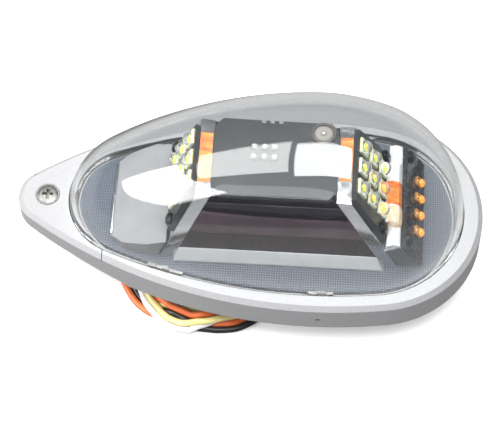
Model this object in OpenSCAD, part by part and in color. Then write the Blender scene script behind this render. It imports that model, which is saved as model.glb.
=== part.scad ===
// Wing-tip navigation and strobe light: teardrop metal base, clear dome, sloping LED heads inside.
// Origin on the underside mounting face, midway along the base. +X is the round nose, +Z is up.

/* [Base] */
// Length of the base from tail tip to nose
base_l = 145; // [142:1:150]
// Height of the base
base_h = 12; // [12:0.5:14]
// Height of the seam under the tail retainer
seam_z = 9.2; // [9:0.1:9.3]
// Width of the chamfer round the base's top edge
edge_c = 1.5; // [1.2:0.1:2]
// Radius of the tail tip
tip_r = 9.4; // [8.6:0.1:10]
// Radius of the nose
nose_r = 33.7; // [33:0.1:35]
// How far the rim's underside rises at the tail
hollow_h = 4.9; // [0.5:0.1:5]

/* [Lens] */
// Height of the dome above the base's top face
dome_h = 45; // [44:0.5:48]
// Wall thickness of the lens
lens_t = 2; // [1.6:0.1:2.2]
// Where along the base the dome is highest
peak_x = 23; // [18:1:28]

/* [Optical block] */
// Height of the top board's upper face above the mounting face
deck_top = 42; // [40:0.5:43]
// Half width of the top board
deck_hw = 13; // [11:0.5:13]
// Slope of the forward LED head, from the horizontal
front_a = 63; // [60:1:66]
// Slope of the aft LED head, from the horizontal
rear_a = 69; // [66:1:72]
// Distance between neighbouring white LEDs
led_pitch = 6.9; // [6.2:0.1:7]

/* [Leads] */
// Outside diameter of each lead
lead_d = 2.1; // [1.8:0.1:2.4]
// How far below the mounting face the coiled leads reach
lead_drop = 13; // [12:0.5:16]

/* [Hidden] */
$fn = 96;

// base outline
flank_r = 156;
tip_x = -base_l / 2 + tip_r;
nose_x = base_l / 2 - nose_r;

// lens outline
lens_tail_x = -36.6;
lens_tail_r = 19.7;
lens_nose_x = 37.5;
lens_nose_r = 28.9;
lens_flank_r = 174;
foot_z = 9.5;
ledge_z = 9;
gap = 0.3;
dome_p = 2.3;
dome_tail_q = 1.62;
dome_nose_q = 1.8;

// base interior
wall_in = 3;
floor_z = 8.5;
plate_top = 10;
web_z = 6.8;
split_x = -44.6;
screw_x = -63.2;
tongue_hw = 8;

clip_w = 0.84;
clip_end = 2.8;
clip_box = 2.2;

// optical block
board_t = 1.6;
deck_z = deck_top - board_t;
front_x = 31.2;
rear_x = 14.9;
frame_t = 4;
frame_top_hw = 12.4;
frame_foot_hw = 18.6;
foot_hw = 16.8;
frame_s = 37;
row_s = 2.6;
led_w = 5;
led_h = 0.9;
led_dome_r = 2.1;
board_s = 21.6;
amber_s = 22.7;
amber_hw = 17.2;
amber_h = 5.7;
amber_len = 12.8;
amber_led_s = 8.3;
amber_screw_s = 1.7;
amber_screw_y = 14.2;
bar_hw = 17.2;
bar_top_s = 18.95;
bar_end_s = 20.6;
bar_mid_hw = 10.1;
bar_low_s = 23.3;
bar_h = 5.6;
mirror_r = 23;
mirror_y = 33.4;
mirror_z = 30.5;
block_hw = 9.2;

// underside
cover_z = 1.6;
cover_t = 1.4;
mount_hole_r = 1.65;
mount_hole_y = 31.2;
mount_hole_x = 20;
tail_hole_x = -56.6;

// leads
lead_r = lead_d / 2;
lead_off = 1.08;
gland_face_z = 0.9;
coil_x = -12;
coil_y = -6;
bend_r = 5.8;
inner_lane_r = 20.95;
coil_in_r = 18;
coil_out_r = 28.9;
bundle_z = -lead_drop + lead_r + lead_off;

metal = [0.80, 0.81, 0.82];
bright = [0.88, 0.89, 0.91];
smoked = [0.20, 0.20, 0.23];
black = [0.06, 0.06, 0.07];
clear = [0.85, 0.90, 0.92, 0.35];

// ---- outlines ----

function flank_x(xa, ra, xb, rb, rf) =
    ((rf - ra)^2 - (rf - rb)^2 + xb^2 - xa^2) / (2 * (xb - xa));
function flank_y(xa, ra, xf, rf) = sqrt((rf - ra)^2 - (xf - xa)^2);

// Two end circles joined by two large flank arcs, tangent all the way round.
module teardrop(xa, ra, xb, rb, rf, inset = 0) {
    xf = flank_x(xa, ra, xb, rb, rf);
    yf = flank_y(xa, ra, xf, rf);
    ua = [xa - xf, yf] / (rf - ra);
    ub = [xb - xf, yf] / (rf - rb);
    f = [xf, -yf];
    a = f + (rf - inset) * ua;
    b = f + (rf - inset) * ub;
    oa = f + 1.3 * rf * ua;
    ob = f + 1.3 * rf * ub;
    translate([xa, 0]) circle(ra - inset);
    translate([xb, 0]) circle(rb - inset);
    intersection() {
        translate([xf, -yf]) circle(rf - inset, $fn = 400);
        translate([xf, yf]) circle(rf - inset, $fn = 400);
        polygon([a, oa, ob, b, [b.x, -b.y], [ob.x, -ob.y], [oa.x, -oa.y], [a.x, -a.y]]);
    }
}

module base_outline(inset = 0) {
    teardrop(tip_x, tip_r, nose_x, nose_r, flank_r, inset);
}

module lens_outline(inset = 0) {
    teardrop(lens_tail_x, lens_tail_r, lens_nose_x, lens_nose_r, lens_flank_r, inset);
}

// ---- base and tail ----

module edge_sector(cx, cy, r, a0, a1, top, c) {
    translate([cx, cy, top - c])
        rotate([0, 0, a0])
            rotate_extrude(angle = a1 - a0, $fn = 400)
                polygon([[r + 0.001, 0], [r + 3, 0], [r + 3, c + 1], [r - c - 1, c + 1]]);
}

// Cuts a chamfer of c round the outline's edge at height top.
module edge_chamfer(top = base_h, c = edge_c) {
    xf = flank_x(tip_x, tip_r, nose_x, nose_r, flank_r);
    yf = flank_y(tip_x, tip_r, xf, flank_r);
    aa = atan2(yf, tip_x - xf);
    ab = atan2(yf, nose_x - xf);
    edge_sector(tip_x, 0, tip_r, aa, 360 - aa, top, c);
    edge_sector(nose_x, 0, nose_r, -ab, ab, top, c);
    edge_sector(xf, -yf, flank_r, ab, aa, top, c);
    edge_sector(xf, yf, flank_r, -aa, -ab, top, c);
}

// Under the tail the rim rises toward the tip; a boss in the middle stays down.
module tail_relief() {
    difference() {
        translate([0, 40, 0]) rotate([90, 0, 0]) linear_extrude(80)
            polygon([[-80, -1], [-35, -1], [-38, 0.9], [-54, hollow_h - 1.2], [-80, hollow_h]]);
        translate([-63.1, 0, -2]) cylinder(r = 6.4, h = 20);
        translate([0, 0, -2]) linear_extrude(20)
            polygon([
                [-63.1, -6.4], [-60, -9.3], [-36, -21.5], [-30, -24],
                [-30, 24], [-36, 21.5], [-60, 9.3], [-63.1, 6.4]
            ]);
    }
}

module seat_for_retainer() {
    difference() {
        translate([-100, -40, seam_z]) cube([100 + split_x + 0.2, 80, base_h]);
        translate([lens_tail_x, 0, 0]) cylinder(r = lens_tail_r + gap - 0.2, h = 40);
    }
}

module cover_boss_places() {
    for (p = [[-38, 9], [-38, -9], [48, 15], [48, -15]])
        translate([p.x, p.y, 0]) children();
}

module heat_sink_screw_places() {
    for (x = [-6, 26])
        translate([x, 0, 0]) children();
}

module base_housing() {
    color(metal) difference() {
        linear_extrude(base_h) base_outline();
        edge_chamfer();
        tail_relief();
        // seat for the tail retainer
        seat_for_retainer();
        // lens pocket, floor recess and underside cavity
        translate([0, 0, ledge_z]) linear_extrude(base_h) lens_outline(-gap);
        translate([0, 0, floor_z]) linear_extrude(base_h) lens_outline(wall_in);
        difference() {
            translate([0, 0, -1]) linear_extrude(web_z + 1) lens_outline(wall_in);
            cover_boss_places() translate([0, 0, cover_z + cover_t]) cylinder(r = 2.8, h = 10);
        }
        cover_boss_places() cylinder(r = 1.05, h = web_z);
        heat_sink_screw_places() cylinder(r = 2.1, h = 20);
        // passage for the LED leads
        translate([10, 0, 0]) cylinder(r = 3.5, h = 20);
        // threaded insert under the retainer
        translate([screw_x, 0, 1.2]) cylinder(r = 2.9, h = 20);
        // threaded mounting holes in the underside
        for (s = [-1, 1])
            translate([mount_hole_x, s * mount_hole_y, -1]) cylinder(r = mount_hole_r, h = 7);
        translate([tail_hole_x, 0, -1]) cylinder(r = mount_hole_r, h = 7);
        // small witness holes in the side wall
        for (s = [-1, 1])
            translate([23, s * 36, 5]) rotate([s * 90, 0, 0]) cylinder(r = 0.8, h = 2.2);
    }
}

module tail_retainer() {
    color(metal) difference() {
        translate([0, 0, seam_z]) linear_extrude(base_h - seam_z) base_outline();
        edge_chamfer();
        translate([split_x, -50, 0]) cube(150);
        translate([lens_tail_x, 0, 0]) cylinder(r = lens_tail_r + gap, h = 40);
        // rebate over the lens tongue
        translate([lens_tail_x, 0, seam_z - 1]) intersection() {
            cylinder(r = lens_tail_r + 3.2, h = 11.8 - seam_z);
            translate([-30, -tongue_hw - gap, 0]) cube([20, 2 * (tongue_hw + gap), 5]);
        }
        translate([screw_x, 0, 0]) cylinder(r = 2.15, h = 20);
        translate([screw_x, 0, base_h - 2]) cylinder(r1 = 2.15, r2 = 3.75, h = 1.6);
        translate([screw_x, 0, base_h - 0.4]) cylinder(r = 3.75, h = 2);
    }
}

module cup_washer() {
    color(bright) translate([screw_x, 0, base_h - 2]) rotate_extrude()
        polygon([
            [2.02, 0.1], [2.12, 0.1], [3.65, 1.63], [3.65, 2.1], [3.2, 2.1], [3.2, 1.7], [2.02, 0.52]
        ]);
}

module retainer_screw() {
    color(bright) translate([screw_x, 0, 0]) difference() {
        rotate_extrude() polygon([
            [0, 1.6], [1.6, 1.6], [1.95, 2.1], [1.95, base_h - 1.44], [3.15, base_h - 0.24],
            [3.15, base_h + 0.1], [2.4, base_h + 0.4], [0, base_h + 0.55]
        ]);
        for (a = [0, 90])
            rotate([0, 0, a]) translate([-1.7, -0.45, base_h - 1.05]) cube([3.4, 0.9, 3]);
    }
}

module thread_insert() {
    color([0.72, 0.62, 0.36]) translate([screw_x, 0, 1.2]) difference() {
        cylinder(r = 2.88, h = seam_z - 1.3);
        translate([0, 0, -1]) cylinder(r = 2, h = 12);
    }
}

// ---- lens ----

// Points of the upper half outline, from the tail end to the nose end.
function half_outline(inset) =
    let (
        xf = flank_x(lens_tail_x, lens_tail_r, lens_nose_x, lens_nose_r, lens_flank_r),
        yf = flank_y(lens_tail_x, lens_tail_r, xf, lens_flank_r),
        aa = atan2(yf, lens_tail_x - xf),
        ab = atan2(yf, lens_nose_x - xf),
        ra = lens_tail_r - inset,
        rb = lens_nose_r - inset,
        rf = lens_flank_r - inset
    )
    concat(
        [for (i = [0:7]) let (t = 180 - (180 - aa) * i / 8) [lens_tail_x + ra * cos(t), ra * sin(t)]],
        [for (i = [0:12]) let (t = aa + (ab - aa) * i / 12) [xf + rf * cos(t), rf * sin(t) - yf]],
        [for (i = [1:10]) let (t = ab * (1 - i / 10)) [lens_nose_x + rb * cos(t), rb * sin(t)]]
    );

function spine(x, x0, x1, h) =
    let (
        q = x < peak_x ? dome_tail_q : dome_nose_q,
        t = x < peak_x ? (peak_x - x) / (peak_x - x0) : (x - peak_x) / (x1 - peak_x)
    )
    h * max(0, 1 - t^q)^(1 / q);

across = 20;

// Both ends first, then every station's arch, then the foot ring.
function shell_points(pts, h) =
    let (n = len(pts) - 1, x0 = pts[0].x, x1 = pts[n].x, e = 2 / dome_p)
    concat(
        [[x0, 0, base_h], [x1, 0, base_h]],
        [for (i = [1:n - 1], j = [0:across])
            let (a = 180 * j / across, c = cos(a), s = max(0, sin(a)))
            [pts[i].x, pts[i].y * sign(c) * abs(c)^e, base_h + spine(pts[i].x, x0, x1, h) * s^e]],
        [[x0, 0, foot_z], [x1, 0, foot_z]],
        [for (i = [1:n - 1], s = [1, -1]) [pts[i].x, s * pts[i].y, foot_z]]
    );

function arch(n, i, j) = i == 0 ? 0 : i == n ? 1 : 2 + (i - 1) * (across + 1) + j;
function foot(n, i, s) =
    2 + (n - 1) * (across + 1) + (i == 0 ? 0 : i == n ? 1 : 2 + 2 * (i - 1) + s);
function two(a, b, c, d) = [
    for (t = [[a, b, c], [a, c, d]])
        if (t[0] != t[1] && t[1] != t[2] && t[0] != t[2]) t
];
function flat_list(l) = [for (a = l) each a];
function flip(l) = [for (t = l) [t[2], t[1], t[0]]];
function shift_faces(l, k) = [for (t = l) [t[0] + k, t[1] + k, t[2] + k]];

function shell_faces(n) = flat_list(concat(
    [for (i = [0:n - 1], j = [0:across - 1])
        two(arch(n, i, j), arch(n, i, j + 1), arch(n, i + 1, j + 1), arch(n, i + 1, j))],
    [for (i = [0:n - 1]) two(arch(n, i, 0), arch(n, i + 1, 0), foot(n, i + 1, 0), foot(n, i, 0))],
    [for (i = [0:n - 1])
        two(arch(n, i, across), foot(n, i, 1), foot(n, i + 1, 1), arch(n, i + 1, across))]
));

function rim_faces(n, k) = flat_list(concat(
    [for (i = [0:n - 1]) two(foot(n, i, 0), foot(n, i + 1, 0), foot(n, i + 1, 0) + k, foot(n, i, 0) + k)],
    [for (i = [0:n - 1]) two(foot(n, i, 1), foot(n, i, 1) + k, foot(n, i + 1, 1) + k, foot(n, i + 1, 1))]
));

module lens() {
    outer = half_outline(0);
    inner = half_outline(lens_t);
    n = len(outer) - 1;
    outer_points = shell_points(outer, dome_h);
    k = len(outer_points);
    color(clear) {
        polyhedron(
            points = concat(outer_points, shell_points(inner, dome_h - lens_t)),
            faces = concat(shell_faces(n), shift_faces(flip(shell_faces(n)), k), rim_faces(n, k))
        );
        // tongue held under the retainer
        translate([lens_tail_x, 0, foot_z]) intersection() {
            difference() {
                cylinder(r = lens_tail_r + 2.7, h = 1);
                translate([0, 0, -1]) cylinder(r = lens_tail_r - 1, h = 3);
            }
            translate([-30, -tongue_hw, -1]) cube([20, 2 * tongue_hw, 5]);
        }
    }
}

module lens_gasket() {
    color(black) translate([0, 0, ledge_z]) linear_extrude(foot_z - ledge_z - 0.05) difference() {
        lens_outline(0.1);
        lens_outline(wall_in - 0.6);
    }
}

// A flat spring with raised ends and a small box in the middle.
module clip(length) {
    translate([-length / 2, -clip_w / 2, 0]) cube([length, clip_w, 0.5]);
    for (s = [-1, 1])
        translate([s * (length - clip_end) / 2 - clip_end / 2, -clip_w / 2, 0.5])
            cube([clip_end, clip_w, 0.3]);
    translate([-clip_box / 2, -clip_w / 2, 0.5]) cube([clip_box, clip_w, 0.8]);
}

module lens_clips() {
    color(bright)
        for (s = [-1, 1], c = [[-24.4, 21.7, 15, 11.2], [23.4, 27.3, -1, 7.8]])
            translate([c[0], s * c[1], plate_top]) rotate([0, 0, s * c[2]]) clip(c[3]);
}

// ---- floor and heat sink ----

module floor_plate() {
    color([0.42, 0.47, 0.55]) difference() {
        translate([0, 0, floor_z]) linear_extrude(plate_top - floor_z) lens_outline(wall_in + 0.2);
        heat_sink_screw_places() cylinder(r = 2.1, h = 20);
        translate([10, 0, 0]) cylinder(r = 3.5, h = 20);
    }
}

// Side view of the space between the two end frames, less a small joint gap.
module between_frames(hw) {
    cut = 0.05;
    kf = 1 / tan(front_a);
    kr = 1 / tan(rear_a);
    xf = front_x - frame_t / sin(front_a) - cut;
    xr = -rear_x + frame_t / sin(rear_a) + cut;
    down = deck_z - plate_top;
    translate([0, hw, 0]) rotate([90, 0, 0]) linear_extrude(2 * hw) polygon([
        [xr, deck_z], [xf, deck_z], [xf + kf * down, plate_top], [xr - kr * down, plate_top]
    ]);
}

module heat_sink() {
    color(metal) difference() {
        between_frames(block_hw);
        heat_sink_screw_places() cylinder(r = 2, h = 22);
        translate([10, 0, 0]) cylinder(r = 3.5, h = 30);
        // side grooves cut down the block's weight
        for (s = [-1, 1], i = [0:4])
            translate([-4 + 6 * i, s * block_hw, 16]) translate([-1.2, -3, 0]) cube([2.4, 6, 20]);
    }
}

module heat_sink_screws() {
    color(bright) heat_sink_screw_places() {
        translate([0, 0, web_z - 1.8]) cylinder(r = 3.4, h = 1.8);
        cylinder_from(web_z, 20, 1.95);
    }
}

module cylinder_from(z0, z1, r) {
    translate([0, 0, z0]) cylinder(r = r, h = z1 - z0);
}

// Concave mirror down one side of the block. side is -1 near, 1 far.
module side_reflector(side) {
    color(smoked) intersection() {
        between_frames(30);
        translate([-40, 0, 0]) rotate([90, 0, 90]) linear_extrude(100) intersection() {
            difference() {
                translate([side * mirror_y, mirror_z]) circle(mirror_r + 1);
                translate([side * mirror_y, mirror_z]) circle(mirror_r);
            }
            translate([side > 0 ? 8 : -18, 14.5]) square([10, deck_z - 14.6]);
        }
    }
}

module side_rail(side) {
    color(metal) intersection() {
        between_frames(30);
        translate([-60, 0, 0]) rotate([90, 0, 90]) linear_extrude(140) polygon([
            for (p = [[10, 10], [19.4, 10], [19.4, 10.9], [17, 14.4], [10, 14.4]])
                [side * p.x, p.y]
        ]);
    }
}

module reflector_near() side_reflector(-1);
module reflector_far() side_reflector(1);
module rail_near() side_rail(-1);
module rail_far() side_rail(1);

// ---- top board ----

module top_board() {
    color(black) difference() {
        translate([0, 0, deck_z]) linear_extrude(board_t) difference() {
            polygon([
                [-10.5, -deck_hw + 2.5], [-8, -deck_hw], [24.2, -deck_hw], [26.6, -deck_hw + 2.5],
                [26.6, deck_hw - 2.5], [24.2, deck_hw], [-8, deck_hw], [-10.5, deck_hw - 2.5]
            ]);
            for (i = [0:2])
                translate([3.4 + 2.6 * i, deck_hw - 0.9]) square([1.2, 2]);
        }
        translate([22, 9.2, deck_top - 0.6]) cylinder(r = 2.9, h = 2);
    }
}

module top_leds() {
    color([0.93, 0.94, 0.90])
        for (i = [0:2], j = [0:1])
            translate([1.6 + 3.1 * i, 0.2 + 3.4 * j, deck_top]) {
                translate([-1.1, -1.1, 0]) cube([2.2, 2.2, 0.5]);
                translate([0, 0, 0.5]) rotate_extrude()
                    intersection() { circle(0.95); square(2); }
            }
}

module sensor_bezel() {
    color([0.25, 0.23, 0.22]) translate([22, 9.2, deck_top]) difference() {
        cylinder(r = 3.7, h = 0.6);
        translate([0, 0, -1]) cylinder(r = 2.95, h = 3);
    }
}

module sensor_window() {
    color([0.80, 0.62, 0.55]) translate([22, 9.2, deck_top - 0.6]) {
        cylinder(r = 2.85, h = 0.9);
        cylinder(r = 0.7, h = 1.2);
    }
}

// ---- sloping LED heads ----

// Local frame on an end frame's outer face: s runs down the slope, h stands off it.
module on_front(s = 0, y = 0, h = 0) {
    translate([front_x, 0, deck_z]) rotate([0, front_a, 0]) translate([s, y, h]) children();
}

module on_rear(s = 0, y = 0, h = 0) {
    mirror([1, 0, 0]) translate([rear_x, 0, deck_z]) rotate([0, rear_a, 0])
        translate([s, y, h]) children();
}

module between_levels(z0, z1) {
    translate([-80, -40, z0]) cube([160, 80, z1 - z0]);
}

module frame_slab() {
    translate([0, 0, -frame_t]) linear_extrude(frame_t) polygon([
        [-5, -frame_top_hw], [frame_s, -frame_foot_hw], [frame_s, frame_foot_hw], [-5, frame_top_hw]
    ]);
}

module front_frame() {
    color(bright) {
        intersection() {
            on_front() frame_slab();
            between_levels(plate_top, deck_z);
        }
        // forward foot under the amber block
        translate([0, foot_hw, plate_top]) rotate([90, 0, 0])
            linear_extrude(2 * foot_hw)
                polygon([[44, 0], [52.6, 0], [52.6, 0.8], [51.8, 1.2], [44, 1.2]]);
    }
}

module rear_frame() {
    color(bright) intersection() {
        on_rear() frame_slab();
        between_levels(plate_top, deck_z);
    }
}

module led_board(length, top_hw, low_hw, t) {
    linear_extrude(t) difference() {
        polygon([[-0.3, -top_hw], [length, -low_hw], [length, low_hw], [-0.3, top_hw]]);
        for (s = [-1, 1])
            translate([length - 3.2, s * (low_hw - 2.1)]) circle(1.2);
    }
}

module led_places() {
    for (i = [0:2], j = [-1:1])
        translate([row_s + led_pitch * i, led_pitch * j, 0]) children();
}

module led_packages() {
    led_places() translate([-led_w / 2, -led_w / 2, 0]) cube([led_w, led_w, led_h]);
}

module led_domes() {
    led_places() rotate_extrude() intersection() {
        circle(led_dome_r);
        square(led_dome_r + 1);
    }
}

module front_board() color(black) on_front() led_board(board_s, 12, 14.4, board_t);
module rear_board() color(black) on_rear() led_board(board_s, 10.6, 14.6, board_t);
module front_leds() color([0.94, 0.92, 0.80]) on_front(h = board_t) led_packages();
module rear_leds() color([0.94, 0.92, 0.80]) on_rear(h = board_t) led_packages();
module front_domes() color([0.95, 0.93, 0.60, 0.6]) on_front(h = board_t + led_h) led_domes();
module rear_domes() color([0.95, 0.93, 0.60, 0.6]) on_rear(h = board_t + led_h) led_domes();

module pan_screw(shank) {
    rotate_extrude() polygon([
        [0, -shank], [1.1, -shank], [1.1, 0], [2, 0], [2, 0.7], [1.5, 1.25], [0, 1.4]
    ]);
}

module board_screws() {
    color(black) {
        for (s = [-1, 1]) {
            on_front(board_s - 3.2, s * 12.3, board_t) pan_screw(board_t);
            on_rear(board_s - 3.2, s * 12.5, board_t) pan_screw(board_t);
        }
    }
}

// Sloping plate aft of the rear head; its plan follows the narrowing lens.
module rear_ramp() {
    plan = [[-42, 12.5], [-38, 15.6], [-30, 17.6], [-24, 16.9]];
    color([0.62, 0.63, 0.65]) intersection() {
        translate([0, 30, 0]) rotate([90, 0, 0]) linear_extrude(60) polygon([
            [-42, plate_top], [-42, 11.6], [-41, 12.2], [-30, 17], [-24.3, 17.6], [-27.2, plate_top]
        ]);
        linear_extrude(30) polygon([
            for (p = plan) p, for (i = [3:-1:0]) [plan[i].x, -plan[i].y]
        ]);
    }
}

// ---- amber head and light bar ----

module amber_block() {
    color(metal) intersection() {
        on_front(bar_low_s + 0.2, -amber_hw, 0.05) cube([20, 2 * amber_hw, amber_h - 0.1]);
        between_levels(plate_top + 1.25, 40);
    }
}

module amber_board() {
    color([0.07, 0.10, 0.09]) on_front(amber_s, 0, amber_h) difference() {
        translate([0, -amber_hw, 0]) cube([amber_len, 2 * amber_hw, board_t]);
        for (s = [-1, 1])
            translate([amber_screw_s, s * amber_screw_y, -1]) cylinder(r = 1.2, h = 4);
    }
}

module amber_places() {
    for (j = [-1.5:1:1.5])
        on_front(amber_s + amber_led_s, 5.7 * j, amber_h + board_t) children();
}

module amber_leds() {
    color([0.85, 0.55, 0.15]) amber_places() {
        translate([-1.7, -1.7, 0]) cube([3.4, 3.4, 0.7]);
        translate([0, 0, 0.7]) rotate_extrude() intersection() {
            circle(1.35);
            square(2);
        }
    }
}

module amber_screws() {
    color(black)
        for (s = [-1, 1])
            on_front(amber_s + amber_screw_s, s * amber_screw_y, amber_h + board_t) pan_screw(board_t);
}

// Side view of the bar: s down the slope, h off it, from its upper face at s = from.
module bar_section(from) {
    polygon([
        [from + 0.5, 1.75], [bar_low_s, 1.75], [bar_low_s, bar_h], [from + 1.6, bar_h],
        [from, 4.2], [from, 2.2]
    ]);
}

module bar_piece(y0, y1, from) {
    on_front() translate([0, y1, 0]) rotate([90, 0, 0]) linear_extrude(y1 - y0) bar_section(from);
}

module light_bar() {
    color(bright) {
        bar_piece(-bar_mid_hw, bar_mid_hw, bar_top_s);
        bar_piece(-bar_hw, -bar_mid_hw, bar_end_s);
        bar_piece(bar_mid_hw, bar_hw, bar_end_s);
    }
}

// Block of clear resin cast over the bar beside the film.
module bar_bead() {
    color([0.85, 0.75, 0.60, 0.7]) on_front() translate([0, -4.4, 0]) rotate([90, 0, 0])
        linear_extrude(7) difference() {
            polygon([
                [19.05, 2.7], [18.5, 3.6], [18.5, 4.7], [20.1, 6.4], [22.5, 6.4], [22.5, 5.2],
                [20.2, 3.4]
            ]);
            bar_section(bar_top_s);
        }
}

module tape_front() {
    color([0.85, 0.45, 0.12, 0.8]) translate([27.3, -5.5, deck_z]) cube([3.6, 14.5, 0.15]);
}

module tape_rear() {
    color([0.85, 0.45, 0.12, 0.8]) translate([-14.7, -8.2, deck_z]) cube([3.8, 16.6, 0.15]);
}

// Film folded over the bar's upper faces.
module tape_bar() {
    color([0.80, 0.35, 0.10, 0.8]) on_front() translate([0, 3.6, 0]) rotate([90, 0, 0])
        linear_extrude(7.8) difference() {
            polygon([
                [19.1, 2.6], [18.75, 2.6], [18.75, 4.3], [20.4, 5.75], [22.4, 5.75], [22.4, 5.2], [20, 3]
            ]);
            bar_section(bar_top_s);
        }
}

// ---- underside ----

module driver_board() {
    color([0.08, 0.25, 0.14]) difference() {
        translate([0, 0, 3.9]) linear_extrude(1) lens_outline(wall_in + 1);
        cover_boss_places() cylinder(r = 3.1, h = 10);
        heat_sink_screw_places() cylinder(r = 4, h = 10);
        translate([10, 0, 0]) cylinder(r = 3, h = 10);
    }
}

module driver_parts() {
    color([0.15, 0.15, 0.16]) {
        for (p = [[-22, 8], [-14, 12], [18, 14], [36, -14], [40, 8]])
            translate([p.x - 3, p.y - 2.5, 4.9]) cube([6, 5, 1.6]);
        for (p = [[2, 15], [8, -16], [30, 17]])
            translate([p.x, p.y, 4.9]) cylinder(r = 2.6, h = 1.7);
    }
}

module bottom_cover() {
    color([0.70, 0.71, 0.72]) difference() {
        translate([0, 0, cover_z]) linear_extrude(cover_t) lens_outline(wall_in + 0.2);
        cover_boss_places() {
            cylinder(r = 1.3, h = 10);
            translate([0, 0, cover_z - 0.01]) cylinder(r1 = 2.4, r2 = 1.3, h = 1.1);
        }
        translate([coil_x, coil_y - bend_r, 0]) cylinder(r = 5, h = 10);
    }
}

module cover_screws() {
    color(bright) cover_boss_places() rotate_extrude() polygon([
        [0, cover_z + 0.05], [2.3, cover_z + 0.05], [1, cover_z + 1.35], [1, 6.4], [0, 6.4]
    ]);
}

module wire_gland() {
    color(black) translate([coil_x, coil_y - bend_r, 0]) rotate_extrude() polygon([
        [0, gland_face_z], [5.6, gland_face_z], [6.2, cover_z], [4.95, cover_z],
        [4.95, cover_z + cover_t], [5.9, cover_z + cover_t], [5.5, 3.8], [0, 3.8]
    ]);
}

// ---- leads ----

// Bundle route: straight down, a quarter bend to +Y, then a half circle out to the coil.
// Each station is [point, up normal, side normal].
function drop_station(z) = [[coil_x, coil_y - bend_r, z], [0, 1, 0], [1, 0, 0]];
function bend_station(a) = [
    [coil_x, coil_y - bend_r * cos(a), bundle_z + bend_r - bend_r * sin(a)],
    [0, cos(a), sin(a)], [1, 0, 0]
];
function curl_station(a) = let (r = inner_lane_r / 2) [
    [coil_x + r - r * cos(a), coil_y + r * sin(a), bundle_z],
    [0, 0, 1], [cos(a), -sin(a), 0]
];

stations = concat(
    [drop_station(gland_face_z), drop_station(-2)],
    [for (i = [0:8]) bend_station(90 * i / 8)],
    [for (i = [1:8]) curl_station(128 * i / 8)]
);

function lead_path(u, v) = [for (s = stations) s[0] + u * s[1] + v * s[2]];

// Octagonal tube along one lead. Its ring lies in the plane of the station's two normals.
module lead_tube(u, v) {
    n = len(stations);
    path = lead_path(u * lead_off, v * lead_off);
    points = [for (k = [0:n - 1], i = [0:7])
        path[k] + lead_r * (cos(45 * i) * stations[k][1] + sin(45 * i) * stations[k][2])];
    sides = [for (k = [0:n - 2], i = [0:7])
        [8 * k + i, 8 * k + (i + 1) % 8, 8 * k + 8 + (i + 1) % 8, 8 * k + 8 + i]];
    polyhedron(
        points = points,
        faces = concat(sides, [[for (i = [7:-1:0]) i], [for (i = [0:7]) 8 * (n - 1) + i]])
    );
}

module lead_orange() color("darkorange") lead_tube(1, -1);
module lead_black() color("black") lead_tube(-1, -1);
module lead_yellow() color("gold") lead_tube(1, 1);
module lead_white() color("white") lead_tube(-1, 1);

module lead_coil() {
    color([0.75, 0.55, 0.25]) translate([coil_x, coil_y, -lead_drop]) rotate_extrude()
        translate([coil_in_r, 0]) square([coil_out_r - coil_in_r, 2 * (lead_r + lead_off)]);
}

base_housing();
tail_retainer();
cup_washer();
retainer_screw();
thread_insert();
lens();
lens_gasket();
lens_clips();
floor_plate();
heat_sink();
heat_sink_screws();
top_board();
top_leds();
sensor_bezel();
sensor_window();
reflector_near();
reflector_far();
rail_near();
rail_far();
front_frame();
front_board();
front_leds();
front_domes();
rear_frame();
rear_board();
rear_leds();
rear_domes();
rear_ramp();
amber_block();
amber_board();
amber_leds();
light_bar();
bar_bead();
tape_front();
tape_rear();
tape_bar();
board_screws();
amber_screws();
driver_board();
driver_parts();
bottom_cover();
cover_screws();
wire_gland();
lead_orange();
lead_black();
lead_yellow();
lead_white();
lead_coil();
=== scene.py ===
"""Wing-tip navigation light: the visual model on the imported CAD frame."""

import math

import bmesh
import bpy
import numpy as np
from mathutils import Matrix, Vector


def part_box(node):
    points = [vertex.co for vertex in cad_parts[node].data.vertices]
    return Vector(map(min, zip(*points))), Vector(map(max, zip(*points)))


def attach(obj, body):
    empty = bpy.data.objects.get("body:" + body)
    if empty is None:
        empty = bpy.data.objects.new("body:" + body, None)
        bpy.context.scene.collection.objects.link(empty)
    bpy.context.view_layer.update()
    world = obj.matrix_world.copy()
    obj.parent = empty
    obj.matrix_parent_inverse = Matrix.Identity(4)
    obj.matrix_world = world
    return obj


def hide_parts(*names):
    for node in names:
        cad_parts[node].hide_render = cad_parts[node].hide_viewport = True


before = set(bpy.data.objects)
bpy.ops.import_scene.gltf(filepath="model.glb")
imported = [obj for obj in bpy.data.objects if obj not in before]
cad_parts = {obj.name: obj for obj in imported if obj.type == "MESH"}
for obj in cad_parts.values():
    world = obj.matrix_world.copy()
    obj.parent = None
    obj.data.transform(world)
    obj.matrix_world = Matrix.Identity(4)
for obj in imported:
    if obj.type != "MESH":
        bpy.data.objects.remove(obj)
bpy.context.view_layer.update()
MM = 0.001

# ---- camera ----

CAMERA_AZIMUTH = 4.56
CAMERA_ELEVATION = 62.2
CAMERA_ROLL = -1.1
CAMERA_DISTANCE = 0.720
CAMERA_TARGET = Vector((0.0001, -0.0012, 0.010))
CAMERA_LENS = 166.3


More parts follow.
